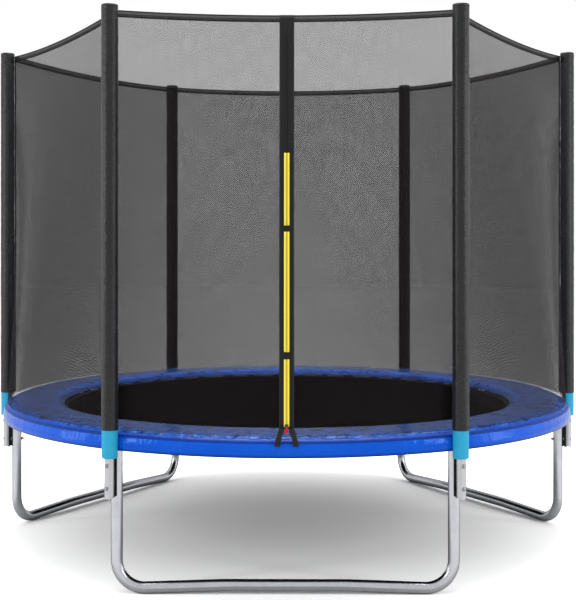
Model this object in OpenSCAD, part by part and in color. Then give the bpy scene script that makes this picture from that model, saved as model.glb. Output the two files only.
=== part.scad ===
// Round garden trampoline with a six-pole safety enclosure.
// Millimetres, +Z up, origin on the ground under the centre of the ring.
// The zipped door faces -Y.

/* [Frame] */
// Radius of the rail's centreline
ring_r = 1200; // [1000:10:1500]
// Height of the rail's centreline
rail_z = 540; // [460:5:700]
// Outer diameter of the rail and leg tube
tube_d = 42; // [38:0.5:46]
// Wall of the rail and leg tube
tube_wall = 1.5; // [1:0.1:2.5]
// Length of each swaged end that plugs into the next rail
swage_len = 60; // [30:5:80]
// Length of the stub below each rail that plugs into a leg
stub_len = 72; // [50:2:90]

/* [Legs] */
// Centreline radius of the two corner bends
bend_r = 100; // [70:5:140]
// Slope of the foot bar between a corner and the raised middle
arch_angle = 1.9; // [0.5:0.1:4]
// Length of the level, raised middle of the foot bar
arch_flat = 436; // [200:4:600]
// Radius of the soft bends at the ends of the raised middle
arch_r = 300; // [150:10:500]

/* [Poles] */
// Outer diameter of the pole tube
pole_d = 32; // [28:0.5:34]
// Wall of the pole tube
pole_wall = 1.2; // [0.8:0.1:2]
// Width of the flattened pole foot, across the radius
foot_w = 36; // [34:0.5:40]
// Depth of the flattened pole foot, along the radius
foot_t = 27; // [26:0.5:30]
// Height of the bottom of the pole foot
foot_z = 345; // [300:5:380]
// Radius of the foot's two lower corners
foot_corner = 11; // [4:1:16]
// Height of the join between lower and upper pole
split_z = 1270; // [1000:10:1500]
// Length of the swaged end of the lower pole
pole_swage = 60; // [30:5:90]
// Height of the top of the upper pole
pole_top_z = 2075; // [1800:5:2300]

/* [Pole fixing] */
// Thickness of the saddle between leg and pole foot at its thinnest
saddle_t = 8.5; // [8:0.5:12]
// Width of the saddle
saddle_w = 27; // [22:1:32]
// Diameter of the bolt
bolt_d = 6; // [5:0.5:8]
// Diameter of the bolt's domed head
bolt_head_d = 16; // [13:0.5:19]
// Height of the domed head
bolt_head_h = 4.5; // [3:0.5:6]
// Height of the lower bolt
bolt_z = 382; // [375:1:395]
// Distance between the two bolts
bolt_pitch = 80; // [70:1:84]
// Width across flats of the nut
nut_af = 10; // [8:0.5:13]
// Height of the nut
nut_h = 5; // [4:0.5:8]

/* [Foam and sleeves] */
// Outer diameter of the foam tube
foam_d = 57; // [52:1:60]
// Height of the bottom of the foam tube
foam_z = 488; // [480:1:500]
// Outer diameter of the fabric sleeve
sleeve_d = 61; // [59:1:70]
// Height of the bottom of the fabric sleeve
sleeve_z = 588; // [588:1:640]
// Thickness of the sleeve's fabric
sleeve_t = 1.7; // [0.8:0.1:2]
// Height of the closed top of the sleeve above the pole
sleeve_over = 17; // [14:1:30]

/* [Mat and springs] */
// Distance from the rail's centreline to the mat's edge
mat_space = 210; // [180:5:400]
// Thickness of the mat's woven cloth
mat_t = 2; // [1:0.2:3]
// Width of the webbing band round the mat's edge
band_w = 36; // [24:2:60]
// Thickness of one layer of webbing
web_t = 1.6; // [1:0.1:2]
// Width of the webbing loop that holds each ring
loop_w = 30; // [20:1:34]
// Distance from the mat's edge to the bar of each ring
ring_out = 13; // [11:0.5:20]
// Distance from the ring's bar to the point where its arms would meet
ring_tip = 40; // [36:1:50]
// Width of the bar of each triangular ring
ring_w = 44; // [40:1:50]
// Diameter of the ring's wire
ring_wire = 4.4; // [3.5:0.1:4.4]
// Springs on each of the six rails
springs_per_rail = 8; // [4:1:9]
// Outer diameter of a spring
spring_d = 20; // [16:0.5:20]
// Diameter of the spring's wire
wire_d = 3; // [2:0.1:3]
// Centreline radius of the spring's hook round the ring
hook_r = 8; // [7.5:0.5:8]
// Height of the springs above the rail's centreline
spring_up = 11; // [8:0.5:11]

/* [Pad] */
// How far the pad reaches inwards from the rail's centreline
pad_reach = 232; // [120:2:420]
// Thickness of the pad at its crown, cover included
pad_t = 22; // [16:1:26]
// Thickness of the pad's cover
cover_t = 1.2; // [0.8:0.1:1.8]
// Thickness of the skirt outside the rail
skirt_t = 2.2; // [1.2:0.1:2.6]
// Drop of the skirt below the rail's centreline
skirt_drop = 27; // [24:1:40]
// Width of the elastic hem that turns in under the rail
skirt_lip = 11; // [6:1:14]
// Width of each elastic tie under the rail
tie_w = 25; // [15:1:40]

/* [Net] */
// Thickness of the net
net_t = 2.4; // [1.6:0.2:3]
// Drop of the net's top edge below the top of the sleeves
net_drop = 14; // [5:1:80]
// Sag of the top edge between two poles
net_sag = 20; // [0:1:60]
// Height of the band along the top edge
top_band = 25; // [15:1:60]
// Height of the band along the bottom edge
bottom_band = 20; // [10:1:50]
// Thickness of both bands
band_t = 3.2; // [2.4:0.2:4]
// Diameter of the piping sewn between two panels
piping_d = 6; // [5:0.5:8]

/* [Door] */
// Distance of the door's middle line from the panel's, to the right
door_shift = 6; // [0:1:20]
// Width of the door's webbing placket
placket_w = 52; // [44:1:80]
// Thickness of the placket
placket_t = 2.2; // [1.2:0.2:4]
// Height of the placket's bottom end
placket_z = 611; // [606:1:640]
// Width of the reflective tape, both halves and the zip between them
tape_w = 18.6; // [14:0.2:30]
// Thickness of the reflective tape
tape_t = 0.8; // [0.4:0.1:1.2]
// Width of the zip's chain
chain_w = 3.4; // [2.6:0.2:4]
// How far the chain stands out of the placket
chain_t = 1.8; // [1.4:0.1:2]
// Length of the zip slider
slider_len = 15; // [12:1:24]
// Width of the zip slider
slider_w = 12; // [11:1:18]
// Length of the pull tab below its pivot
pull_len = 20; // [14:1:40]
// Width of the pull tab
pull_w = 14; // [8:1:16]
// Width of the two straps below the door
strap_w = 20; // [12:1:24]
// Thickness of the two straps
strap_t = 2; // [1:0.2:3]

/* [Hidden] */
$fn = 96;

// Six poles stand at these angles, front left first; rail n and pole n share an angle.
pole_angles = [240, 300, 0, 60, 120, 180];
span = 60;
// Mid-angle of each leg.
front_mid = 270;
right_mid = 30;
left_mid = 150;

// Clearances.
plug_gap = 0.3;      // swaged tube inside its socket, on the radius
face_gap = 0.4;      // between the ends of two rails
hole_gap = 0.5;      // bolt in its hole, on the radius
skirt_gap = 0.6;     // skirt to rail
rest_gap = 0.2;      // pad above the rail
saddle_gap = 0.15;   // saddle to leg and to pole foot
foam_gap = 0.5;      // foam to pole
sleeve_gap = 0.3;    // sleeve to foam
slide_gap = 0.5;     // slider to chain
pin_gap = 0.1;       // pull to its pin
eye_gap = 0.4;       // pull's eye to the slider's face
mat_gap = 0.3;       // mat's edge to its webbing band
loop_gap = 0.1;      // loops to the webbing band
leg_gap = 0.5;       // skirt's hem to leg
rest_up = 0.3;       // net above the pad
fill_gap = 0.2;      // pad's foam to its cover
hook_gap = 0.2;      // hook to the ring it pulls on
bend_thin = 0.1;     // a bend is this much thinner than the straights it joins, on the radius
bend_lap = 0.3;      // and reaches this far into them

// Frame and legs.
tube_r = tube_d / 2;
bore_r = tube_r - tube_wall;
plug_r = bore_r - plug_gap;
half_leg = ring_r * sin(span / 2);
leg_plane = ring_r * cos(span / 2);
leg_top = rail_z - tube_r - 3;
bend_z = bend_r + tube_r;
spring_z = rail_z + spring_up;
// Foot bar: end of the corner bend, length of the slope and height of the raised middle.
corner_x = half_leg - bend_r - bend_r * sin(arch_angle);
corner_y = bend_z - bend_r * cos(arch_angle);
arch_run = (corner_x - arch_flat / 2 - arch_r * sin(arch_angle)) / cos(arch_angle);
arch_y = corner_y + arch_run * sin(arch_angle) + arch_r * (1 - cos(arch_angle));

// Poles.
foot_in = ring_r + tube_r + saddle_t;
foot_r = foot_in + foot_t / 2;
pole_r = foot_in + foot_t - pole_d / 2;
pole_bore = pole_d / 2 - pole_wall;
foot_top = foam_z + 26;
neck_h = 16;
bolt_hole = bolt_d / 2 + hole_gap;
bolt_heights = [bolt_z, bolt_z + bolt_pitch];
foam_top = pole_top_z + 5;
sleeve_top = pole_top_z + sleeve_over;
washer_t = 1.6;
bolt_end = 4;

// Rings and springs: the ring's arms would meet at ring_tip if its end were not rounded.
ring_bend = 5;
mat_r = ring_r - mat_space;
ring_bar_r = mat_r + ring_out;
ring_turn = atan(ring_w / 2 / ring_tip);
hook_mid = ring_bar_r + ring_tip - ring_bend / sin(ring_turn) + ring_bend
    + hook_r - ring_wire - wire_d / 2 + ring_wire / 2 - hook_gap;

// Pad.
pad_in_r = ring_r - pad_reach;
skirt_in = ring_r + tube_r + skirt_gap;
pad_out_r = skirt_in + skirt_t;
pad_z = rail_z + tube_r + rest_gap;
pad_body_z = pad_z + cover_t;
pad_power = 6;
pad_steps = 28;
function pad_arch(t) = sqrt(max(0, 1 - pow(abs(2 * t - 1), pad_power)));
function pad_top(r) = pad_body_z + (pad_t - cover_t) * pad_arch((r - pad_in_r) / (pad_out_r - pad_in_r));
// Points of the crowned profile, inset on all sides; the steps crowd towards both edges.
function pad_curve(inset) = [for (i = [0:pad_steps])
    let (t = (1 - cos(180 * i / pad_steps)) / 2)
    [pad_in_r + inset + t * (pad_out_r - pad_in_r - 2 * inset),
     pad_body_z + (pad_t - cover_t - inset) * pad_arch(t)]];
slot_r = pole_r - pole_d / 2 + 1;

// Net.
piping_r = pole_r - sleeve_d / 2 - piping_d / 2 - sleeve_gap;
net_r = piping_r;
net_cols = 10;
net_rows = 4;
net_z = pad_top(net_r * cos(span / net_cols / 2) - band_t / 2) + rest_up;
net_top = sleeve_top - net_drop;
net_gap = (piping_d / 2 + 0.3) / (2 * half_leg);
low_v = bottom_band / (net_top - net_z);
high_v = 1 - top_band / (net_top - net_z);

// Door.
door_foot_z = net_z;
door_lean = atan((net_r - net_r * cos(span / 2)) / (net_top - net_sag - net_z));
placket_x = net_t / 2 + 0.8;
placket_foot = (placket_z - door_foot_z) / cos(door_lean);
placket_top = (net_top - net_sag - door_foot_z) / cos(door_lean);
placket_face = placket_x + placket_t;
tape_runs = [[619, 847], [872, 1287], [1309, 1564]];
chain_foot = (placket_z + 3 - door_foot_z) / cos(door_lean);
chain_top = placket_top - top_band - 40;
slider_x = placket_face + tape_t + 0.4;
slider_d = 4;
pin_d = 2.4;
eye_r = pin_d / 2 + 0.8;
pin_x = slider_x + slider_d + eye_r + eye_gap;
slider_foot = chain_foot - 2;
pin_up = 4;
lug_w = 1.6;

// ---------------------------------------------------------------- helpers

module on_pole(n) {
    rotate([0, 0, pole_angles[n - 1]]) children();
}

module tube(outer_r, inner_r, h) {
    linear_extrude(h) difference() {
        circle(outer_r);
        circle(inner_r);
    }
}

// A bent rod round the Z axis, from one angle to another.
module arc_rod(radius, r, from, to) {
    rotate([0, 0, from]) rotate_extrude(angle = to - from) translate([radius, 0]) circle(r);
}

// A bend between two straight rods: a hair thinner than they are, and it reaches a little way into both.
module bend(radius, r, from, to) {
    reach = bend_lap / radius * 180 / PI;
    arc_rod(radius, r - bend_thin, from - reach, to + reach);
}

// Outline of the flattened pole foot, grown by the given amount.
module foot_outline(grow) {
    flat = foot_w - foot_t;
    translate([foot_r, 0]) {
        for (side = [-1, 1]) translate([0, side * flat / 2]) circle(foot_t / 2 + grow);
        square([foot_t + 2 * grow, flat], center = true);
    }
}

// ---------------------------------------------------------------- frame

module spring_angles() {
    step = span / springs_per_rail;
    for (i = [0:springs_per_rail - 1]) rotate([0, 0, step * (i + 0.5) - span / 2]) children();
}

// A rail: one end swaged to plug into the next rail, and a stub below for the leg.
module top_rail(n) {
    end = span / 2 - asin(face_gap / 2 / ring_r);
    swage_angle = swage_len / ring_r * 180 / PI;
    step_angle = 0.15;
    plug_bore = plug_r - tube_wall;
    color("silver") on_pole(n) difference() {
        union() {
            translate([0, 0, rail_z]) arc_rod(ring_r, tube_r, -end, end);
            translate([0, 0, rail_z]) arc_rod(ring_r, plug_r, end - 1, end + swage_angle);
            translate([ring_r, 0, rail_z - tube_r - stub_len]) cylinder(r = plug_r, h = tube_r + stub_len);
        }
        translate([0, 0, rail_z]) arc_rod(ring_r, bore_r, -end - 1, end - step_angle);
        translate([0, 0, rail_z]) arc_rod(ring_r, plug_bore, end - 1, end + swage_angle + 1);
        translate([ring_r, 0, rail_z - tube_r - stub_len - 1]) cylinder(r = plug_bore, h = stub_len);
        spring_angles() translate([ring_r - tube_r - 1, 0, spring_z])
            rotate([0, 90, 0]) cylinder(r = wire_d / 2 + 2.5, h = tube_r);
        translate([ring_r - tube_d, 0, bolt_heights[1]])
            rotate([0, 90, 0]) cylinder(r = bolt_hole, h = 2 * tube_d);
    }
}

// Leg in its own plane: X along the foot bar, Y up, with its middle at X = 0.
module half_leg_rod(r, over) {
    translate([half_leg, bend_z, 0]) rotate([-90, 0, 0]) cylinder(r = r, h = leg_top - bend_z + over);
    translate([half_leg - bend_r, bend_z, 0]) bend(bend_r, r, -90 - arch_angle, 0);
    translate([corner_x, corner_y, 0]) rotate([0, 0, -arch_angle]) rotate([0, -90, 0])
        cylinder(r = r, h = arch_run);
    translate([arch_flat / 2, arch_y - arch_r, 0]) bend(arch_r, r, 90 - arch_angle, 90);
}

module leg_rod(r, over) {
    half_leg_rod(r, over);
    mirror([1, 0, 0]) half_leg_rod(r, over);
    translate([-arch_flat / 2, arch_y, 0]) rotate([0, 90, 0]) cylinder(r = r, h = arch_flat);
}

// A bent tube with two uprights and a foot bar that rests near its corners and is raised between them.
module leg(mid) {
    color("silver") difference() {
        rotate([0, 0, mid]) translate([leg_plane, 0, 0]) rotate([90, 0, 90]) leg_rod(tube_r, 0);
        rotate([0, 0, mid]) translate([leg_plane, 0, 0]) rotate([90, 0, 90]) leg_rod(bore_r, 1);
        for (side = [-1, 1], z = bolt_heights)
            rotate([0, 0, mid + side * span / 2]) translate([ring_r - tube_d, 0, z])
                rotate([0, 90, 0]) cylinder(r = bolt_hole, h = 2 * tube_d);
    }
}

// ---------------------------------------------------------------- poles

module pole_lower(n) {
    color("gainsboro") on_pole(n) difference() {
        union() {
            // Flattened foot with rounded lower corners.
            intersection() {
                translate([0, 0, foot_z]) linear_extrude(foot_top - foot_z) foot_outline(0);
                translate([foot_in - 1, 0, 0]) rotate([90, 0, 90]) linear_extrude(foot_t + 2) {
                    for (side = [-1, 1])
                        translate([side * (foot_w / 2 - foot_corner), foot_z + foot_corner])
                            circle(foot_corner);
                    translate([-foot_w / 2 + foot_corner, foot_z])
                        square([foot_w - 2 * foot_corner, foot_corner + 1]);
                    translate([-foot_w / 2, foot_z + foot_corner])
                        square([foot_w, foot_top - foot_z]);
                }
            }
            translate([pole_r, 0, foot_top - neck_h])
                cylinder(r = pole_d / 2, h = split_z - foot_top + neck_h);
            translate([pole_r, 0, split_z - 1]) cylinder(r = pole_bore - plug_gap, h = pole_swage + 1);
        }
        translate([0, 0, foot_z - 1]) linear_extrude(foot_top - foot_z - pole_wall + 1)
            foot_outline(-pole_wall);
        translate([pole_r, 0, foot_top - neck_h + pole_wall])
            cylinder(r = pole_bore, h = split_z - foot_top + neck_h - 3);
        translate([pole_r, 0, foot_top]) cylinder(r = pole_bore - plug_gap - pole_wall, h = split_z);
        for (z = bolt_heights) translate([foot_in - 1, 0, z])
            rotate([0, 90, 0]) cylinder(r = bolt_hole, h = foot_t + 2);
    }
}

module pole_upper(n) {
    color("gainsboro") on_pole(n) translate([pole_r, 0, split_z + face_gap])
        tube(pole_d / 2, pole_bore, pole_top_z - split_z - face_gap);
}

module pole_caps() {
    head_h = 4;
    plug_h = 20;
    color("black") for (n = [1:6]) on_pole(n) translate([pole_r, 0, pole_top_z]) {
        translate([0, 0, -plug_h]) cylinder(r = pole_bore - plug_gap, h = plug_h);
        cylinder(r1 = pole_d / 2, r2 = pole_d / 2 - 2, h = head_h);
    }
}

// Black plastic saddle with a hollow for the leg and one for the pole foot.
module pole_saddles() {
    low = foot_z + 7;
    high = foam_z - 1;
    deep = 5;
    window = [saddle_t - 1, saddle_w + 2, 2 * bolt_d];
    color("black") for (n = [1:6]) on_pole(n) difference() {
        translate([ring_r + tube_r * 0.72, -saddle_w / 2, low])
            cube([foot_in + deep - ring_r - tube_r * 0.72, saddle_w, high - low]);
        translate([ring_r, 0, low - 1]) cylinder(r = tube_r + saddle_gap, h = high - low + 2);
        translate([0, 0, low - 1]) linear_extrude(high - low + 2) foot_outline(saddle_gap);
        for (z = bolt_heights) {
            translate([ring_r, 0, z]) rotate([0, 90, 0]) cylinder(r = bolt_hole, h = tube_d);
            translate([foot_in - saddle_t / 2 - 1.5, 0, z]) cube(window, center = true);
        }
    }
}

// Domed bolts, head outwards.
module pole_bolts() {
    dome_r = (pow(bolt_head_d / 2, 2) + pow(bolt_head_h, 2)) / (2 * bolt_head_h);
    face = foot_in + foot_t;
    tip = ring_r - tube_r - washer_t - nut_h - bolt_end;
    color("whitesmoke") for (n = [1:6], z = bolt_heights) on_pole(n) translate([tip, 0, z])
        rotate([0, 90, 0]) rotate_extrude() {
            square([bolt_d / 2, face - tip + 1]);
            translate([0, face - tip]) intersection() {
                translate([0, bolt_head_h - dome_r]) circle(dome_r);
                square(bolt_head_d);
            }
        }
}

// A washer and a hexagon nut on the inner end of every bolt.
module pole_nuts() {
    face = ring_r - tube_r;
    color("whitesmoke") for (n = [1:6], z = bolt_heights) on_pole(n) {
        translate([face - washer_t, 0, z]) rotate([0, 90, 0])
            tube(bolt_d, bolt_d / 2 + 0.2, washer_t - 0.1);
        translate([face - washer_t - nut_h, 0, z]) rotate([0, 90, 0]) difference() {
            cylinder(r = nut_af / 2 / cos(30), h = nut_h - 0.1, $fn = 6);
            translate([0, 0, -1]) cylinder(r = bolt_d / 2 + 0.1, h = nut_h + 2, $fn = 48);
        }
    }
}

// Foam tube, slit on the inner side where it clips over the rail and the skirt.
module foam_tube(n) {
    rim = 4;
    color("deepskyblue") on_pole(n) difference() {
        translate([pole_r, 0, foam_z]) rotate_extrude() {
            translate([0, rim]) square([foam_d / 2, foam_top - foam_z - rim]);
            square([foam_d / 2 - rim, rim + 1]);
            translate([foam_d / 2 - rim, rim]) circle(rim);
        }
        translate([pole_r, 0, foam_z - 1]) cylinder(r = pole_d / 2 + foam_gap, h = foam_top - foam_z + 2);
        translate([0, 0, foam_z - 1]) linear_extrude(foot_top - foam_z + 2) foot_outline(foam_gap);
        translate([0, 0, foam_z - 1]) cylinder(r = slot_r, h = pad_top(slot_r - 20) + 6 - foam_z, $fn = 200);
    }
}

module sleeve(n) {
    edge = 6;
    outer = sleeve_d / 2;
    inner = outer - sleeve_t;
    color([0.16, 0.17, 0.18]) on_pole(n) translate([pole_r, 0, 0]) rotate_extrude() difference() {
        union() {
            translate([0, sleeve_z]) square([outer, sleeve_top - sleeve_z - edge]);
            translate([0, sleeve_top - edge - 1]) square([outer - edge, edge + 1]);
            translate([outer - edge, sleeve_top - edge]) circle(edge);
        }
        translate([-1, sleeve_z - 1]) square([inner + 1, sleeve_top - sleeve_z - edge + 1]);
        translate([-1, sleeve_top - edge - 1]) square([inner - edge + 1, edge + 1 - sleeve_t]);
        translate([-2 * outer, sleeve_z - 1]) square([2 * outer, sleeve_top]);
    }
}

// ---------------------------------------------------------------- mat and springs

module every_spring() {
    for (n = [1:6]) on_pole(n) spring_angles() children();
}

// A close-wound spring with a tapered shoulder and a hook at each end.
module spring() {
    wire_r = wire_d / 2;
    body_in = hook_mid + hook_r + 15;
    body_out = ring_r - tube_r - 14;
    taper = 5;
    tip_r = 6;
    turn_in = ring_r - tube_r + 9;
    shape = [[0, hook_mid + hook_r], [wire_r, hook_mid + hook_r], [wire_r, body_in - taper],
             [spring_d / 2, body_in], [spring_d / 2, body_out], [wire_r, body_out + taper],
             [wire_r, turn_in], [0, turn_in]];
    translate([0, 0, spring_z]) {
        rotate([0, 90, 0]) rotate_extrude() polygon(shape);
        // Inner hook, round the end of the ring.
        translate([hook_mid, 0, 0]) rotate([90, 0, 0]) arc_rod(hook_r, wire_r, 0, 300);
        // Outer hook, through the rail's hole and down inside it.
        translate([turn_in, 0, -tip_r]) rotate([90, 0, 0]) bend(tip_r, wire_r, 0, 90);
        translate([turn_in + tip_r, 0, -tip_r - 4]) cylinder(r = wire_r, h = 4);
    }
}

module springs() {
    color("lightgray") every_spring() spring();
}

// Woven disc, pressed a hair thinner where its edge lies in the webbing band.
module mat() {
    press = 0.05;
    color([0.08, 0.08, 0.09]) translate([0, 0, spring_z]) {
        translate([0, 0, -mat_t / 2]) cylinder(r = mat_r - band_w, h = mat_t, $fn = 240);
        translate([0, 0, press - mat_t / 2]) cylinder(r = mat_r, h = mat_t - 2 * press, $fn = 240);
    }
}

// Webbing folded over the mat's edge.
module mat_band() {
    half = mat_t / 2 + web_t;
    color([0.05, 0.05, 0.06]) translate([0, 0, spring_z]) rotate_extrude($fn = 240) difference() {
        translate([mat_r + mat_gap + web_t - band_w, -half]) square([band_w, 2 * half]);
        translate([mat_r - band_w, -mat_t / 2]) square([band_w + mat_gap, mat_t]);
    }
}

// A strip of webbing folded round the bar of each ring and sewn to the band.
module mat_loops() {
    outer = mat_t / 2 + 2 * web_t + loop_gap;
    tail = band_w - 8;
    color([0.05, 0.05, 0.06]) every_spring() translate([ring_bar_r, loop_w / 2, spring_z])
        rotate([90, 0, 0]) linear_extrude(loop_w) {
            difference() {
                circle(outer);
                circle(outer - web_t);
                translate([-2 * outer, -outer]) square([2 * outer, 2 * outer]);
            }
            for (side = [-1, 1])
                translate([-tail - ring_out, side > 0 ? outer - web_t : -outer])
                    square([tail + ring_out, web_t]);
        }
}

// Triangular ring of bent wire: a bar in the loop and two arms that meet in a rounded end.
module mat_ring() {
    wire_r = ring_wire / 2;
    side = 90 - ring_turn;
    arm = ring_tip / cos(ring_turn) - ring_bend / tan(ring_turn) - ring_bend / tan(side / 2);
    bar = ring_w / 2 - ring_bend / tan(side / 2);
    translate([ring_bar_r, 0, spring_z]) {
        translate([0, -bar, 0]) rotate([-90, 0, 0]) cylinder(r = wire_r, h = 2 * bar);
        translate([ring_tip - ring_bend / sin(ring_turn), 0, 0]) bend(ring_bend, wire_r, -side, side);
        for (way = [0, 1]) mirror([0, way, 0]) {
            translate([ring_bend, bar, 0]) bend(ring_bend, wire_r, side, 180);
            translate([ring_bend * (1 + cos(side)), bar + ring_bend * sin(side), 0])
                rotate([0, 0, -ring_turn]) rotate([0, 90, 0]) cylinder(r = wire_r, h = arm);
        }
    }
}

module mat_rings() {
    color("silver") every_spring() mat_ring();
}

// ---------------------------------------------------------------- pad

// Cover sewn round the foam, with a skirt outside the rail that turns in below it. The turned-in lip is cut
// out round the legs.
module pad_cover() {
    low = rail_z - skirt_drop;
    lip_t = 1.4;
    hem = [[pad_out_r, low], [pad_out_r - skirt_lip, low], [pad_out_r - skirt_lip, low + lip_t],
           [skirt_in, low + lip_t], [skirt_in, pad_z], [pad_in_r, pad_z]];
    color([0.08, 0.32, 0.85]) difference() {
        rotate_extrude($fn = 240) difference() {
            polygon(concat(pad_curve(0), hem));
            polygon([for (p = pad_curve(cover_t)) [min(p[0], skirt_in - 1), p[1]]]);
        }
        for (n = [1:6]) on_pole(n) translate([ring_r, 0, low - 1])
            cylinder(r = tube_r + leg_gap, h = lip_t + 2);
    }
}

module pad_foam() {
    inset = cover_t + fill_gap;
    color("white") rotate_extrude($fn = 240)
        polygon([for (p = pad_curve(inset)) [min(p[0], skirt_in - 1 - fill_gap), p[1] + fill_gap / 2]]);
}

// Elastic ties from the skirt's hem, under the rail, up to the pad's underside.
module pad_ties() {
    tie_t = 1.4;
    wrap = tube_r + 0.5;
    hem_x = tube_r - 2;
    hem_z = 1.5 - skirt_drop;
    angle = tie_w / ring_r * 180 / PI;
    // One face of the strip, at distance r from the rail's centreline.
    function face(r, up) = concat([[-r, pad_z - rail_z]], [for (a = [180:10:290]) r * [cos(a), sin(a)]],
                                  [[hem_x, hem_z + up]]);
    upper = face(wrap, tie_t);
    lower = face(wrap + tie_t, 0);
    color("black") for (n = [1:6], side = [-1, 1]) on_pole(n)
        rotate([0, 0, side * span / 4 - angle / 2]) rotate_extrude(angle = angle)
            translate([ring_r, rail_z]) polygon(concat(upper, [for (i = [len(lower) - 1:-1:0]) lower[i]]));
}

// ---------------------------------------------------------------- net

// Point of a net panel: U runs from pole to pole, V from the round bottom edge to the straight top edge.
function net_point(n, u, v) =
    let (a = pole_angles[n - 1])
    let (low = net_r * [cos(a + span * u), sin(a + span * u)])
    let (high = net_r * ((1 - u) * [cos(a), sin(a)] + u * [cos(a + span), sin(a + span)]))
    let (top = net_top - 4 * net_sag * u * (1 - u))
    [(1 - v) * low[0] + v * high[0], (1 - v) * low[1] + v * high[1], (1 - v) * net_z + v * top];

// A closed sheet of the given thickness between two heights V of a panel.
module net_sheet(n, low, high, rows, thick) {
    nu = net_cols + 1;
    nv = rows + 1;
    a = pole_angles[n - 1] + span / 2;
    out = thick / 2 * [cos(a), sin(a), 0];
    points = [for (s = [-1, 1], j = [0:rows], i = [0:net_cols])
        net_point(n, net_gap + (1 - 2 * net_gap) * i / net_cols, low + (high - low) * j / rows) + s * out];
    function at(s, i, j) = s * nu * nv + j * nu + i;
    function quad(a, b, c, d) = [[a, b, c], [a, c, d]];
    inner = [for (i = [0:net_cols - 1], j = [0:rows - 1])
        each quad(at(0, i, j), at(0, i + 1, j), at(0, i + 1, j + 1), at(0, i, j + 1))];
    outer = [for (i = [0:net_cols - 1], j = [0:rows - 1])
        each quad(at(1, i, j), at(1, i, j + 1), at(1, i + 1, j + 1), at(1, i + 1, j))];
    ends = [for (j = [0:rows - 1]) each concat(
        quad(at(0, 0, j), at(0, 0, j + 1), at(1, 0, j + 1), at(1, 0, j)),
        quad(at(0, net_cols, j + 1), at(0, net_cols, j), at(1, net_cols, j), at(1, net_cols, j + 1)))];
    edges = [for (i = [0:net_cols - 1]) each concat(
        quad(at(0, i + 1, 0), at(0, i, 0), at(1, i, 0), at(1, i + 1, 0)),
        quad(at(0, i, rows), at(0, i + 1, rows), at(1, i + 1, rows), at(1, i, rows)))];
    polyhedron(points, concat(inner, outer, ends, edges));
}

module net_panel(n) {
    color([0.3, 0.3, 0.3, 0.6]) net_sheet(n, low_v, high_v, net_rows, net_t);
}

module net_top_band() {
    color([0.1, 0.1, 0.1]) for (n = [1:6]) net_sheet(n, high_v, 1, 1, band_t);
}

module net_bottom_band() {
    color([0.1, 0.1, 0.1]) for (n = [1:6]) net_sheet(n, 0, low_v, 1, band_t);
}

// Piping in every corner, between two panels and against the sleeve.
module net_piping() {
    color([0.1, 0.1, 0.1]) for (n = [1:6]) on_pole(n)
        translate([piping_r, 0, sleeve_z + 4]) cylinder(r = piping_d / 2, h = net_top - sleeve_z - 4);
}

// ---------------------------------------------------------------- door

// Frame of the door's middle line: X outwards, Y across, Z up along the leaning net.
module on_door() {
    rotate([0, 0, front_mid]) translate([net_r, door_shift, door_foot_z])
        rotate([0, -door_lean, 0]) children();
}

module door_placket() {
    color([0.1, 0.1, 0.1]) on_door() translate([placket_x, -placket_w / 2, placket_foot])
        cube([placket_t, placket_w, placket_top - placket_foot]);
}

module door_reflectors() {
    half = (tape_w - chain_w) / 2 - 0.4;
    color("gold") on_door() for (run = tape_runs, side = [-1, 1]) {
        low = (run[0] - door_foot_z) / cos(door_lean);
        translate([placket_face, side > 0 ? tape_w / 2 - half : -tape_w / 2, low])
            cube([tape_t, half, (run[1] - run[0]) / cos(door_lean)]);
    }
}

module zip_chain() {
    color("goldenrod") on_door() translate([placket_face, -chain_w / 2, chain_foot])
        cube([chain_t, chain_w, chain_top - chain_foot]);
}

// Slider with a channel for the chain and two lugs that carry the pin of the pull.
module zip_slider() {
    lug_y = slider_w / 2 - lug_w;
    channel = placket_face + chain_t + slide_gap - slider_x + 1;
    color("dimgray") on_door() translate([0, 0, slider_foot]) {
        difference() {
            union() {
                translate([slider_x, -slider_w / 2, 0]) cube([slider_d, slider_w, slider_len]);
                for (side = [-1, 1]) translate([0, side > 0 ? lug_y : -slider_w / 2, 0]) {
                    translate([slider_x + slider_d - 1, 0, pin_up - pin_d])
                        cube([pin_x - slider_x - slider_d + 1, lug_w, 2 * pin_d]);
                    translate([pin_x, 0, pin_up]) rotate([-90, 0, 0]) cylinder(r = pin_d, h = lug_w);
                }
            }
            translate([slider_x - 1, -chain_w / 2 - slide_gap, -1])
                cube([channel, chain_w + 2 * slide_gap, slider_len + 2]);
        }
        translate([pin_x, -slider_w / 2 + 0.5, pin_up]) rotate([-90, 0, 0])
            cylinder(r = pin_d / 2, h = slider_w - 1);
    }
}

// Pull tab hanging plumb: an eye on the pin, a neck between the lugs and a wider rounded tab.
module zip_pull() {
    eye_w = slider_w - 2 * lug_w - 1;
    neck = 8;
    thick = 2.2;
    color("crimson") on_door() translate([pin_x, 0, slider_foot + pin_up])
        rotate([0, door_lean, 0]) difference() {
        union() {
            translate([0, -eye_w / 2, 0]) rotate([-90, 0, 0]) cylinder(r = eye_r, h = eye_w);
            translate([-thick / 2, -eye_w / 2, -neck - 1]) cube([thick, eye_w, neck + 1]);
            rotate([90, 0, 90]) translate([0, 0, -thick / 2]) linear_extrude(thick) {
                translate([0, -pull_len + pull_w / 2]) circle(pull_w / 2);
                translate([-pull_w / 2, -pull_len + pull_w / 2])
                    square([pull_w, pull_len - pull_w / 2 - neck]);
            }
        }
        translate([0, -eye_w, 0]) rotate([-90, 0, 0]) cylinder(r = pin_d / 2 + pin_gap, h = 2 * eye_w);
    }
}

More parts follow.
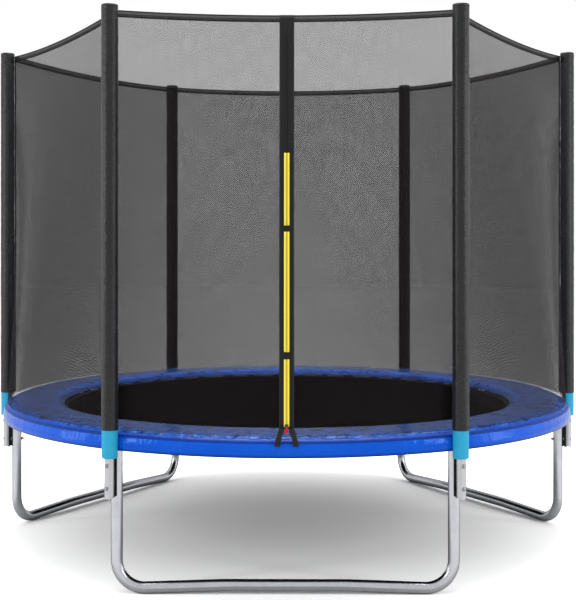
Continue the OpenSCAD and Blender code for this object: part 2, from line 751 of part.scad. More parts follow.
// Two straps from the door's foot, over the pad's shoulder, sewn to the skirt.
module door_straps() {
    foot_y = 20;
    end_y = 32;
    out_r = pad_out_r + 0.1;
    shoulder_z = pad_body_z + 8;
    end_z = shoulder_z - 16;
    module bar(x, y, z) {
        translate([x, y - strap_w / 2, z]) cube([strap_t, strap_w, 0.5]);
    }
    color([0.1, 0.1, 0.1]) rotate([0, 0, front_mid]) translate([0, door_shift, 0]) for (side = [-1, 1]) {
        hull() {
            bar(net_r + placket_x + 1, side * foot_y, placket_z - 4);
            bar(out_r, side * (end_y - 2), shoulder_z);
        }
        hull() {
            bar(out_r, side * (end_y - 2), shoulder_z);
            bar(out_r, side * end_y, end_z);
        }
    }
}

// ---------------------------------------------------------------- parts

top_rail(1);  // top_rail_1
top_rail(2);  // top_rail_2
top_rail(3);  // top_rail_3
top_rail(4);  // top_rail_4
top_rail(5);  // top_rail_5
top_rail(6);  // top_rail_6
leg(front_mid);  // leg_front
leg(right_mid);  // leg_right
leg(left_mid);  // leg_left
pole_lower(1);  // pole_lower_1
pole_lower(2);  // pole_lower_2
pole_lower(3);  // pole_lower_3
pole_lower(4);  // pole_lower_4
pole_lower(5);  // pole_lower_5
pole_lower(6);  // pole_lower_6
pole_upper(1);  // pole_upper_1
pole_upper(2);  // pole_upper_2
pole_upper(3);  // pole_upper_3
pole_upper(4);  // pole_upper_4
pole_upper(5);  // pole_upper_5
pole_upper(6);  // pole_upper_6
pole_caps();
pole_saddles();
pole_bolts();
pole_nuts();
foam_tube(1);  // foam_tube_1
foam_tube(2);  // foam_tube_2
foam_tube(3);  // foam_tube_3
foam_tube(4);  // foam_tube_4
foam_tube(5);  // foam_tube_5
foam_tube(6);  // foam_tube_6
sleeve(1);  // sleeve_1
sleeve(2);  // sleeve_2
sleeve(3);  // sleeve_3
sleeve(4);  // sleeve_4
sleeve(5);  // sleeve_5
sleeve(6);  // sleeve_6
springs();
mat();
mat_band();
mat_loops();
mat_rings();
pad_cover();
pad_foam();
pad_ties();
net_panel(1);  // net_panel_1
net_panel(2);  // net_panel_2
net_panel(3);  // net_panel_3
net_panel(4);  // net_panel_4
net_panel(5);  // net_panel_5
net_panel(6);  // net_panel_6
net_top_band();
net_bottom_band();
net_piping();
door_placket();
door_reflectors();
door_straps();
zip_chain();
zip_slider();
zip_pull();
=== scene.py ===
"""Looks of a garden trampoline with a netted safety enclosure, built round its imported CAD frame.

Metres, +Z up, the zipped door faces -Y.
"""

import math

import bmesh
import bpy
import numpy as np
from mathutils import Matrix, Vector, noise


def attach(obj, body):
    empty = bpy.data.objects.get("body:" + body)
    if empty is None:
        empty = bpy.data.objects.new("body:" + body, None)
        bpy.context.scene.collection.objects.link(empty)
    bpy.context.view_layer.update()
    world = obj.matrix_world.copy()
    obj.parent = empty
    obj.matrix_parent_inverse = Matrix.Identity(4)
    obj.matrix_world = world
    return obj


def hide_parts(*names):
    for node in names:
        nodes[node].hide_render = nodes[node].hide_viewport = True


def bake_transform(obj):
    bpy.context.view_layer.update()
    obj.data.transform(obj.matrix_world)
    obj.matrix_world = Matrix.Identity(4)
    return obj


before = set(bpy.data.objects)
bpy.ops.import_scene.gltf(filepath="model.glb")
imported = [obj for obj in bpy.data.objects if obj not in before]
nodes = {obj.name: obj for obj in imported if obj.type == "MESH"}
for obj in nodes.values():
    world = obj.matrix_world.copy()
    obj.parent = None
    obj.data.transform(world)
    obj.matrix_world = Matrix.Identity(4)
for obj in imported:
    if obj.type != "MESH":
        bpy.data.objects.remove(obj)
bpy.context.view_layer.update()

scene = bpy.context.scene

# ---------------------------------------------------------------- sizes, as the CAD source works them out

POLE_ANGLES = [240, 300, 0, 60, 120, 180]
SPAN = 60
FRONT = 270
RING_R, RAIL_Z, TUBE_R = 1.2, 0.540, 0.021
POLE_R = 1.2405
FOAM_R, FOAM_Z, FOAM_TOP, FOAM_BORE = 0.0285, 0.488, 2.080, 0.0165
SLOT_R, SLOT_TOP = 1.2255, 0.5854
SLEEVE_R, SLEEVE_Z, SLEEVE_TOP, SLEEVE_EDGE = 0.0305, 0.588, 2.092, 0.006
SPRING_Z, SPRINGS_PER_RAIL = 0.551, 8
MAT_R, MAT_T = 0.990, 0.002
BAND_IN, BAND_OUT, BAND_HALF = 0.9559, 0.9919, 0.0026
RING_BAR_R, LOOP_W, LOOP_TAIL_R = 1.003, 0.030, 0.962
HOOK_MID, HOOK_R, COIL_IN, COIL_OUT, COIL_R = 1.04172, 0.008, 1.0647, 1.165, 0.0085
TURN_IN, TIP_R, WIRE_R = 1.188, 0.006, 0.0015
PAD_IN, PAD_OUT, PAD_LOW, PAD_BODY, PAD_RISE = 0.968, 1.2238, 0.5612, 0.5624, 0.0208
SKIRT_LOW, LIP = 0.513, 0.011
NET_R, NET_Z, NET_TOP, NET_SAG = 1.2067, 0.579425, 2.078, 0.020
TOP_BAND, BOTTOM_FOLD = 0.025, 0.008
NET_GAP = 0.0033 / 1.2
DOOR_LEAN, DOOR_SHIFT = math.radians(6.23992), 0.006
PLACKET_X, PLACKET_T, PLACKET_W = 0.002, 0.0022, 0.052
PLACKET_FOOT, PLACKET_TOP = 0.0317635, 1.48739
TAPE_W, TAPE_T, CHAIN_W = 0.0186, 0.0008, 0.0034
TAPE_RUNS = [(0.619, 0.847), (0.872, 1.287), (1.309, 1.564)]
CHAIN_FOOT, CHAIN_TOP, CHAIN_T = 0.0347813, 1.42239, 0.0018
STRAP_W, STRAP_T = 0.020, 0.002


def polar(radius, degrees, z):
    turn = math.radians(degrees)
    return Vector((radius * math.cos(turn), radius * math.sin(turn), z))


def net_point(panel, u, v):
    """Point of a net panel: u from pole to pole, v from the round bottom edge to the straight top edge."""
    angle = POLE_ANGLES[panel - 1]
    low = polar(NET_R, angle + SPAN * u, NET_Z)
    high = polar(NET_R, angle, 0).lerp(polar(NET_R, angle + SPAN, 0), u)
    high.z = NET_TOP - 4 * NET_SAG * u * (1 - u)
    return low.lerp(high, v)


DOOR = (Matrix.Rotation(math.radians(FRONT), 4, "Z") @ Matrix.Translation((NET_R, DOOR_SHIFT, NET_Z))
        @ Matrix.Rotation(-DOOR_LEAN, 4, "Y"))


def on_door(x, y, z):
    """A point of the door's own frame: x outwards, y across, z up along the leaning net."""
    return DOOR @ Vector((x, y, z))


# ---------------------------------------------------------------- making pieces

def cloth(columns, rows, place, size):
    """A grid whose point (u, v), each from 0 to 1, goes to place(u, v). Its UV map is in metres."""
    bm = bmesh.new()
    layer = bm.loops.layers.uv.new("cloth")
    bmesh.ops.create_grid(bm, x_segments=columns, y_segments=rows, size=1)
    where = {vert: ((vert.co.x + 1) / 2, (vert.co.y + 1) / 2) for vert in bm.verts}
    for face in bm.faces:
        for loop in face.loops:
            u, v = where[loop.vert]
            loop[layer].uv = (u * size[0], v * size[1])
    for vert, (u, v) in where.items():
        vert.co = place(u, v)
    bmesh.ops.remove_doubles(bm, verts=bm.verts, dist=1e-5)
    return bm


def face_outwards(bm):
    bmesh.ops.recalc_face_normals(bm, faces=bm.faces)


def along(points, share):
    """Point at a share of the way along a line of points, counted in steps of the list."""
    at = min(max(share, 0.0), 1.0) * (len(points) - 1)
    i = min(int(at), len(points) - 2)
    return points[i].lerp(points[i + 1], at - i)


def evened(points, count):
    """The line of points again, as count points that are equally far apart along it."""
    lengths = [0.0]
    for a, b in zip(points, points[1:]):
        lengths.append(lengths[-1] + (b - a).length)
    out = []
    for k in range(count):
        want = lengths[-1] * k / (count - 1)
        i = max(j for j in range(len(points) - 1) if lengths[j] <= want + 1e-12)
        step = lengths[i + 1] - lengths[i]
        out.append(points[i].lerp(points[i + 1], (want - lengths[i]) / step if step else 0.0))
    return out


def wires(paths, radius, sides=1):
    """Round wire or cord along each path."""
    curve = bpy.data.curves.new("wire", "CURVE")
    curve.dimensions = "3D"
    curve.bevel_depth = radius
    curve.bevel_resolution = sides
    curve.use_fill_caps = True
    for path in paths:
        spline = curve.splines.new("POLY")
        spline.points.add(len(path) - 1)
        for point, co in zip(spline.points, path):
            point.co = (*co, 1)
    holder = bpy.data.objects.new("wire", curve)
    scene.collection.objects.link(holder)
    mesh = bpy.data.meshes.new_from_object(holder)
    bm = bmesh.new()
    bm.from_mesh(mesh)
    bpy.data.objects.remove(holder)
    bpy.data.curves.remove(curve)
    bpy.data.meshes.remove(mesh)
    return bm


def repeated(bm, count, turn=0.0, step=(0, 0, 0)):
    """The shape again, count times in all, each turned about Z and shifted from the one before."""
    geometry = bm.verts[:] + bm.edges[:] + bm.faces[:]
    bmesh.ops.spin(bm, geom=geometry, cent=(0, 0, 0), axis=(0, 0, 1), dvec=step,
                   angle=math.radians(turn) * (count - 1), steps=count - 1, use_duplicate=True)
    return bm


def joined(parts):
    """Several shapes as one."""
    whole = bmesh.new()
    for part in parts:
        mesh = bpy.data.meshes.new("part")
        part.to_mesh(mesh)
        part.free()
        whole.from_mesh(mesh)
        bpy.data.meshes.remove(mesh)
    return whole


def piece(name, bm, material, body="frame", stands_for=(), crease=50, thickness=0.0, side=0):
    """The finished object: at the origin, smooth up to the crease angle, riding on its body."""
    mesh = bpy.data.meshes.new(name)
    bm.to_mesh(mesh)
    bm.free()
    mesh.materials.append(material)
    mesh.shade_smooth()
    mesh.set_sharp_from_angle(angle=math.radians(crease))
    obj = bpy.data.objects.new(name, mesh)
    scene.collection.objects.link(obj)
    if thickness:
        wall = obj.modifiers.new("thickness", "SOLIDIFY")
        wall.thickness = thickness
        wall.offset = side
        wall.use_even_offset = True
    if body:
        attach(obj, body)
    if stands_for:
        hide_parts(*stands_for)
    return obj


# ---------------------------------------------------------------- materials

TOP_FROM, TOP_FULL = 1.2, 1.19             # radii between which the skirt turns into the pad's top
RIM_SHADE_FROM, RIM_SHADE_FULL = 1.0, 0.978            # radii between which painted shade comes in on the inner rim
SEAM_SHADE_FROM, SEAM_SHADE_FULL = 1.197, 1.210        # radii between which painted shade comes in on the shoulder roll
SEAM_SHADE_FOOT, SEAM_SHADE_HEAD = 0.560, 0.563        # heights between which it begins
LOWER_SHADE_FROM, LOWER_SHADE_FULL = 0.527, 0.515  # heights between which painted shade comes in along the skirt's lower edge


def srgb(red, green, blue):
    """Linear colour of an 8-bit one."""
    return tuple((c / 255 / 12.92 if c < 11 else ((c / 255 + 0.055) / 1.055) ** 2.4)
                 for c in (red, green, blue)) + (1.0,)


def add(tree, kind, inputs=None, **settings):
    """A node, its settings, and its inputs as values or as links from other nodes' outputs."""
    made = tree.nodes.new("ShaderNode" + kind)
    for key, value in settings.items():
        setattr(made, key, value)
    for key, value in (inputs or {}).items():
        if isinstance(value, bpy.types.NodeSocket):
            tree.links.new(value, made.inputs[key])
        else:
            made.inputs[key].default_value = value
    return made


def maths(tree, operation, a, b=0.0, c=0.0):
    return add(tree, "Math", {0: a, 1: b, 2: c}, operation=operation).outputs[0]


def effect(name, inputs, outputs):
    """An empty node group with these sockets: its tree, what comes in and where the results go."""
    tree = bpy.data.node_groups.new(name, "ShaderNodeTree")
    for label, kind, value in inputs:
        socket = tree.interface.new_socket(label, in_out="INPUT", socket_type="NodeSocket" + kind)
        if value is not None:
            socket.default_value = value
    for label in outputs:
        tree.interface.new_socket(label, in_out="OUTPUT", socket_type="NodeSocketFloat")
    return tree, tree.nodes.new("NodeGroupInput").outputs, tree.nodes.new("NodeGroupOutput").inputs


def placed(tree, group, **inputs):
    """The outputs of an effect placed in a material."""
    made = tree.nodes.new("ShaderNodeGroup")
    made.node_tree = group
    for label, value in inputs.items():
        socket = made.inputs[label.replace("_", " ")]
        if isinstance(value, bpy.types.NodeSocket):
            tree.links.new(value, socket)
        else:
            socket.default_value = value
    return made.outputs


def make_mottle():
    """Soft patches of two sizes, as dirt, dye and rolling leave on any surface."""
    tree, given, result = effect("mottle", [("Where", "Vector", None), ("Scale", "Float", 5.0)], ["Mask"])
    broad = add(tree, "TexNoise", {"Vector": given["Where"], "Scale": given["Scale"], "Detail": 3.0}).outputs[0]
    finer = maths(tree, "MULTIPLY", given["Scale"], 7.3)
    fine = add(tree, "TexNoise", {"Vector": given["Where"], "Scale": finer, "Detail": 4.0}).outputs[0]
    both = maths(tree, "MULTIPLY_ADD", broad, 0.65, maths(tree, "MULTIPLY", fine, 0.35))
    spread = add(tree, "MapRange", {"Value": both, "From Min": 0.32, "From Max": 0.68}).outputs[0]
    tree.links.new(spread, result["Mask"])
    return tree


def wave(tree, value, pitch):
    """Sine of a length, one half wave per pitch."""
    turns = maths(tree, "DIVIDE", value, pitch)
    return maths(tree, "SINE", maths(tree, "MULTIPLY", turns, math.pi))


def make_weave():
    """Plain weave on a UV map in metres: threads that go over and under each other."""
    tree, given, result = effect("weave", [("Where", "Vector", None), ("Pitch", "Float", 0.001),
                                           ("Ribs", "Float", 0.0)], ["Height"])
    axes = add(tree, "SeparateXYZ", {0: given["Where"]}).outputs
    across, up = (wave(tree, axes[i], given["Pitch"]) for i in (0, 1))
    crossing = maths(tree, "MULTIPLY_ADD", maths(tree, "MULTIPLY", across, up), 0.5, 0.5)
    ribs = maths(tree, "ABSOLUTE", across)
    height = add(tree, "Mix", {0: given["Ribs"], 2: crossing, 3: ribs}, data_type="FLOAT").outputs[0]
    tree.links.new(height, result["Height"])
    return tree


def make_netting():
    """Knitted mesh on a UV map in metres: two slanting families of strands round open holes."""
    tree, given, result = effect("netting", [("Where", "Vector", None), ("Pitch", "Float", 0.003),
                                             ("Strand", "Float", 0.4)], ["Strands"])
    axes = add(tree, "SeparateXYZ", {0: given["Where"]}).outputs
    open_share = maths(tree, "SUBTRACT", 1.0, given["Strand"])
    holes = []
    for operation in ("ADD", "SUBTRACT"):
        slant = maths(tree, "DIVIDE", maths(tree, operation, axes[0], axes[1]), given["Pitch"])
        holes.append(maths(tree, "LESS_THAN", maths(tree, "FRACT", slant), open_share))
    hole = maths(tree, "MULTIPLY", *holes)
    tree.links.new(maths(tree, "SUBTRACT", 1.0, hole), result["Strands"])
    return tree


def make_stitches():
    """Two rows of lockstitch along a strip's length, each a given distance in from its edges."""
    tree, given, result = effect("stitches", [("Where", "Vector", None), ("Width", "Float", 0.05),
                                              ("Inset", "Float", 0.003), ("Length", "Float", 0.004)], ["Mask"])
    axes = add(tree, "SeparateXYZ", {0: given["Where"]}).outputs
    middle = maths(tree, "MULTIPLY", given["Width"], 0.5)
    off_middle = maths(tree, "ABSOLUTE", maths(tree, "SUBTRACT", axes[0], middle))
    off_row = maths(tree, "SUBTRACT", off_middle, maths(tree, "SUBTRACT", middle, given["Inset"]))
    in_row = maths(tree, "LESS_THAN", maths(tree, "ABSOLUTE", off_row), 0.0005)
    dash = maths(tree, "FRACT", maths(tree, "DIVIDE", axes[1], given["Length"]))
    tree.links.new(maths(tree, "MULTIPLY", in_row, maths(tree, "LESS_THAN", dash, 0.75)), result["Mask"])
    return tree


def make_spangle():
    """Frost-like crystals of hot-dip zinc, and the dull bloom that comes up on it near the ground."""
    tree, given, result = effect("spangle", [("Where", "Vector", None), ("Scale", "Float", 80.0)],
                                 ["Crystal", "Bloom"])
    cells = add(tree, "TexVoronoi", {"Vector": given["Where"], "Scale": given["Scale"]}).outputs["Color"]
    tree.links.new(add(tree, "SeparateColor", {0: cells}).outputs[0], result["Crystal"])
    height = add(tree, "SeparateXYZ", {0: given["Where"]}).outputs[2]
    low = add(tree, "MapRange", {"Value": height, "From Min": 0.0, "From Max": 0.06,
                                 "To Min": 1.0, "To Max": 0.0}).outputs[0]
    patches = add(tree, "TexNoise", {"Vector": given["Where"], "Scale": 38.0, "Detail": 5.0}).outputs[0]
    tree.links.new(maths(tree, "MULTIPLY", low, patches), result["Bloom"])
    return tree


def make_crumple():
    """Sharp-edged crumples of a stiff coated cloth, and a mask for painted shade in the dips between some of
    them.
    """
    tree, given, result = effect("crumple", [("Where", "Vector", None), ("Scale", "Float", 18.0)],
                                 ["Height", "Hollows"])
    broad = add(tree, "TexNoise", {"Vector": given["Where"], "Scale": given["Scale"], "Detail": 2.0,
                                   "Distortion": 0.8}).outputs[0]
    fold = maths(tree, "ABSOLUTE", maths(tree, "SUBTRACT", broad, 0.5))
    finer = maths(tree, "MULTIPLY", given["Scale"], 2.6)
    fine = add(tree, "TexNoise", {"Vector": given["Where"], "Scale": finer, "Detail": 3.0,
                                  "Distortion": 0.4}).outputs[0]
    tree.links.new(maths(tree, "MULTIPLY_ADD", fold, 2.0, maths(tree, "MULTIPLY", fine, 0.45)),
                   result["Height"])
    ragged = add(tree, "TexNoise", {"Vector": given["Where"], "Scale": given["Scale"], "Detail": 5.0,
                                    "Roughness": 0.62, "Distortion": 1.4}).outputs[0]
    deep = add(tree, "MapRange", {"Value": ragged, "From Min": 0.55, "From Max": 0.58}).outputs[0]
    tree.links.new(deep, result["Hollows"])
    return tree


MOTTLE, WEAVE, NETTING, STITCHES, SPANGLE, CRUMPLE = (
    make_mottle(), make_weave(), make_netting(), make_stitches(), make_spangle(), make_crumple())


def finish(name, colour, worn, roughness, scale, coordinates="Object", spread=0.12, **plain):
    """A finish that drifts softly between two colours and two degrees of gloss."""
    material = bpy.data.materials.new(name)
    material.use_nodes = True
    tree = material.node_tree
    shader = tree.nodes["Principled BSDF"]
    for label, value in plain.items():
        shader.inputs[label.replace("_", " ")].default_value = value
    given = add(tree, "TexCoord").outputs[coordinates]
    mask = placed(tree, MOTTLE, Where=add(tree, "TexCoord").outputs["Object"], Scale=scale)["Mask"]
    tint = add(tree, "Mix", {0: mask, 6: colour, 7: worn}, data_type="RGBA").outputs[2]
    tree.links.new(tint, shader.inputs["Base Color"])
    gloss = add(tree, "MapRange", {"Value": mask, "To Min": roughness - spread / 2,
                                   "To Max": roughness + spread / 2}).outputs[0]
    tree.links.new(gloss, shader.inputs["Roughness"])
    return material, tree, shader, given


def raise_by(tree, shader, height, distance):
    """Bump from a height, on top of any bump the shader has already."""
    inputs = {"Height": height, "Distance": distance, "Strength": 1.0}
    normal = shader.inputs["Normal"]
    if normal.links:
        inputs["Normal"] = normal.links[0].from_socket
    bump = add(tree, "Bump", inputs)
    tree.links.new(bump.outputs[0], normal)


def ramp(tree, value, start, end):
    """0 at start and 1 at end, which may be the smaller one."""
    return add(tree, "MapRange", {"Value": value, "From Min": start, "From Max": end}).outputs[0]


def over(tree, shader, mask, colour):
    """Paints a colour where the mask is 1."""
    base = shader.inputs["Base Color"]
    under = base.links[0].from_socket
    mixed = add(tree, "Mix", {0: mask, 6: under, 7: colour}, data_type="RGBA").outputs[2]
    tree.links.new(mixed, base)


def steel(name, colour, worn, roughness, crystals, edge=0.4):
    material, tree, shader, where = finish(name, colour, worn, roughness, 9.0, spread=0.08, Metallic=1.0,
                                           Specular_Tint=(edge, edge, edge, 1.0))
    crystal, bloom = placed(tree, SPANGLE, Where=where, Scale=crystals)
    over(tree, shader, maths(tree, "MULTIPLY", crystal, 0.16), worn)
    over(tree, shader, maths(tree, "MULTIPLY", bloom, 0.5), srgb(150, 150, 148))
    streaks = add(tree, "TexNoise", {"Vector": where, "Scale": 220.0, "Detail": 3.0}).outputs[0]
    raise_by(tree, shader, streaks, 0.00004)
    return material


def webbing(name, colour, worn, width, pitch=0.0016, thread=(46, 46, 48)):
    material, tree, shader, where = finish(name, colour, worn, 0.78, 14.0, "UV", Specular_IOR_Level=0.25,
                                           Sheen_Weight=0.08, Sheen_Roughness=0.5)
    raise_by(tree, shader, placed(tree, WEAVE, Where=where, Pitch=pitch, Ribs=0.55)["Height"], 0.0004)
    stitch = placed(tree, STITCHES, Where=where, Width=width)["Mask"]
    over(tree, shader, stitch, srgb(*thread))
    raise_by(tree, shader, stitch, 0.0004)
    return material


def make_vinyl(backed):
    """Glossy coated cloth with a blue bloom at a low angle, crumpled where it lies loose, and backed in black.

    The backing is what comes before the distance backed, counted along the pad's outline.
    """
    material, tree, shader, where = finish("blue_vinyl", srgb(14, 76, 190), srgb(16, 86, 204), 0.12, 3.0,
                                           "UV", spread=0.06, Specular_IOR_Level=0.4,
                                           Specular_Tint=(0.14, 0.36, 1.0, 1.0), Sheen_Weight=0.15,
                                           Sheen_Roughness=0.3, Sheen_Tint=(0.17, 0.38, 1.0, 1.0),
                                           Coat_IOR=1.24, Coat_Roughness=0.1)
    axes = add(tree, "TexCoord").outputs["Object"]
    # Folds run up and down the skirt, and any way on top.
    drawn_out = add(tree, "Mapping", {0: axes, 3: (1.0, 1.0, 0.35)}).outputs[0]
    creases, shaded_hollows = placed(tree, CRUMPLE, Where=drawn_out, Scale=18.0)
    # Painted shade on the shoulder roll where the skirt is sewn on, and painted shade along the skirt's lower
    # edge.
    height = add(tree, "SeparateXYZ", {0: axes}).outputs[2]
    flat = add(tree, "VectorMath", {0: axes, 1: (1.0, 1.0, 0.0)}, operation="MULTIPLY").outputs[0]
    radius = add(tree, "VectorMath", {0: flat}, operation="LENGTH").outputs["Value"]
    seam_shade = maths(tree, "MULTIPLY", ramp(tree, radius, SEAM_SHADE_FROM, SEAM_SHADE_FULL),
                 ramp(tree, height, SEAM_SHADE_FOOT, SEAM_SHADE_HEAD))
    dull = maths(tree, "MULTIPLY_ADD", seam_shade, 0.45, shader.inputs["Roughness"].links[0].from_socket)
    tree.links.new(dull, shader.inputs["Roughness"])
    low = ramp(tree, height, LOWER_SHADE_FROM, LOWER_SHADE_FULL)
    top = ramp(tree, radius, TOP_FROM, TOP_FULL)
    tree.links.new(maths(tree, "MULTIPLY_ADD", top, 0.9, 0.1), shader.inputs["Coat Weight"])
    # Painted light: the top is painted a paler blue for the stronger light that falls on it from above.
    over(tree, shader, maths(tree, "MULTIPLY", top, 0.85), srgb(78, 138, 255))
    # Painted shade on the pad's inner rim.
    inner = ramp(tree, radius, RIM_SHADE_FROM, RIM_SHADE_FULL)
    over(tree, shader, maths(tree, "MULTIPLY", inner, 0.7), srgb(2, 48, 140))
    # Painted shade in the dips between crumples on top.
    over(tree, shader, maths(tree, "MULTIPLY", maths(tree, "MULTIPLY", shaded_hollows, top), 0.65), srgb(2, 26, 84))
    # Painted shade on the shoulder roll.
    over(tree, shader, maths(tree, "MULTIPLY", seam_shade, 0.85), srgb(3, 30, 104))
    # Painted shade along the skirt's lower edge.
    over(tree, shader, maths(tree, "MULTIPLY", low, 0.9), srgb(6, 36, 96))
    # The underside and the inside of the skirt show the backing.
    inside = maths(tree, "LESS_THAN", add(tree, "SeparateXYZ", {0: where}).outputs[1], backed)
    over(tree, shader, inside, srgb(20, 21, 24))
    looser = maths(tree, "MULTIPLY_ADD", top, 0.88, 0.12)
    raise_by(tree, shader, maths(tree, "MULTIPLY", creases, looser), 0.021)
    grain = placed(tree, WEAVE, Where=where, Pitch=0.0012)["Height"]
    raise_by(tree, shader, grain, 0.000015)
    return material


def make_net_mesh():
    material, tree, shader, where = finish("net_mesh", srgb(21, 17, 18), srgb(27, 22, 23), 0.85, 6.0, "UV",
                                           Specular_IOR_Level=0.1)
    strands = placed(tree, NETTING, Where=where, Pitch=0.0036, Strand=0.4)["Strands"]
    tree.links.new(maths(tree, "MULTIPLY_ADD", strands, 0.675, 0.03), shader.inputs["Alpha"])
    raise_by(tree, shader, strands, 0.0003)
    return material


def make_hem_net():
    """The same net folded over on itself and overlocked along both edges."""
    material, tree, shader, where = finish("hem_net", srgb(21, 18, 18), srgb(30, 26, 26), 0.8, 12.0, "UV",
                                           Specular_IOR_Level=0.15)
    axes = add(tree, "SeparateXYZ", {0: where}).outputs
    off_middle = maths(tree, "ABSOLUTE", maths(tree, "SUBTRACT", axes[0], TOP_BAND / 2))
    edges = maths(tree, "GREATER_THAN", off_middle, TOP_BAND / 2 - 0.0042)
    strands = placed(tree, NETTING, Where=where, Pitch=0.0024, Strand=0.55)["Strands"]
    folded = maths(tree, "MULTIPLY_ADD", strands, 0.33, 0.42)
    tree.links.new(maths(tree, "MAXIMUM", folded, maths(tree, "MULTIPLY", edges, 0.97)), shader.inputs["Alpha"])
    raise_by(tree, shader, maths(tree, "ADD", strands, edges), 0.0004)
    return material


def make_sleeve_fabric():
    material, tree, shader, where = finish("sleeve_fabric", srgb(20, 21, 23), srgb(27, 28, 30), 0.22, 7.0, "UV",
                                           Specular_IOR_Level=0.4, Sheen_Weight=0.05, Sheen_Roughness=0.3)
    raise_by(tree, shader, placed(tree, WEAVE, Where=where, Pitch=0.0008)["Height"], 0.00004)
    axes = add(tree, "TexCoord").outputs["Object"]
    crinkle = add(tree, "Mapping", {0: axes, 3: (60.0, 60.0, 150.0)}).outputs[0]
    folds = add(tree, "TexNoise", {"Vector": crinkle, "Scale": 1.0, "Detail": 4.0, "Roughness": 0.6}).outputs[0]
    raise_by(tree, shader, folds, 0.0024)
    return material


def make_foam():
    material, tree, shader, where = finish("blue_foam", srgb(24, 150, 190), srgb(34, 162, 200), 0.55, 11.0,
                                           Specular_IOR_Level=0.3)
    cells = add(tree, "TexVoronoi", {"Vector": where, "Scale": 520.0}).outputs["Distance"]
    raise_by(tree, shader, cells, 0.0004)
    return material


def make_mat_weave():
    material, tree, shader, where = finish("mat_weave", srgb(8, 8, 8), srgb(12, 12, 12), 0.9, 5.0, "UV",
                                           Specular_IOR_Level=0.0)
    raise_by(tree, shader, placed(tree, WEAVE, Where=where, Pitch=0.0022)["Height"], 0.0005)
    return material


def make_plastic(name, colour, worn, roughness):
    material, tree, shader, where = finish(name, colour, worn, roughness, 20.0, Specular_IOR_Level=0.15)
    grain = add(tree, "TexNoise", {"Vector": where, "Scale": 900.0, "Detail": 2.0}).outputs[0]
    raise_by(tree, shader, grain, 0.0001)
    return material


def make_reflector():
    """Prismatic tape: small raised cells, a little paler than the tape."""
    material, tree, shader, where = finish("yellow_reflector", srgb(246, 228, 56), srgb(238, 220, 68),
                                           0.3, 12.0, "UV", Specular_IOR_Level=0.4)
    cells = placed(tree, WEAVE, Where=where, Pitch=0.0018)["Height"]
    over(tree, shader, maths(tree, "MULTIPLY", cells, 0.18), srgb(240, 226, 110))
    raise_by(tree, shader, cells, 0.0001)
    return material


def make_teeth():
    """Black zip teeth that carry the yellow print of the tape where it runs beside them."""
    material, tree, shader, where = finish("zip_teeth", srgb(22, 22, 22), srgb(32, 32, 32), 0.4, 30.0)
    height = add(tree, "SeparateXYZ", {0: where}).outputs[2]
    for low, high in TAPE_RUNS:
        inside = maths(tree, "MULTIPLY", maths(tree, "GREATER_THAN", height, low),
                       maths(tree, "LESS_THAN", height, high))
        over(tree, shader, inside, srgb(226, 206, 52))
    return material


galvanised = steel("galvanised_steel", srgb(208, 210, 214), srgb(194, 196, 201), 0.22, 70.0, edge=0.25)
pole_steel = steel("pole_steel", srgb(204, 204, 207), srgb(190, 191, 195), 0.36, 90.0, edge=0.25)
zinc = steel("zinc_plate", srgb(154, 155, 159), srgb(134, 135, 140), 0.18, 300.0, edge=0.1)
spring_wire = steel("spring_wire", srgb(198, 200, 204), srgb(170, 172, 177), 0.28, 260.0)
zip_metal = steel("zip_metal", srgb(92, 92, 94), srgb(66, 66, 68), 0.35, 400.0)
net_mesh = make_net_mesh()
sleeve_fabric = make_sleeve_fabric()
blue_foam = make_foam()
mat_weave = make_mat_weave()
hem_net = make_hem_net()
placket_web = webbing("placket_webbing", srgb(18, 19, 18), srgb(24, 26, 25), (PLACKET_W - CHAIN_W) / 2)
strap_web = webbing("strap_webbing", srgb(20, 21, 22), srgb(30, 31, 32), STRAP_W)
edge_web = webbing("edge_webbing", srgb(15, 15, 16), srgb(24, 24, 26), LOOP_W)
plastic = make_plastic("black_plastic", srgb(6, 6, 7), srgb(10, 10, 11), 0.5)
red_rubber = make_plastic("red_rubber", srgb(196, 34, 38), srgb(176, 26, 32), 0.45)
reflector = make_reflector()
zip_teeth = make_teeth()

for label, material in (("top_rail", galvanised), ("leg", galvanised), ("pole_lower", pole_steel),
                        ("pole_upper", pole_steel), ("pole_caps", plastic), ("pole_saddles", plastic),
                        ("pole_bolts", zinc), ("pole_nuts", zinc), ("mat_rings", zinc),
                        ("zip_slider", zip_metal), ("zip_pull", red_rubber)):
    for name, node in nodes.items():
        if name.startswith(label):
            node.data.materials.clear()
            node.data.materials.append(material)


# ---------------------------------------------------------------- pad

PAD_STEPS = 720
CROWN_STEPS = 30
PAD_START = 0.9      # height of the pad's crown before it swells, as a share of its full height
SHOULDER = 0.007     # how far the skirt's upper part rolls in towards the crown
SKIRT_T = 0.0022     # thickness of the skirt
BACKED_ROWS = 17     # rows of the outline that are underside or the inside of the skirt
SWELL_FRAMES, SWELL_PRESSURE, SWELL_GROWTH = 20, 4.0, 0.02
SWELL_MOST = 0.006   # farthest that swelling may move a point


def pad_arch(t):
    return math.sqrt(max(0.0, 1 - abs(2 * t - 1) ** 6))


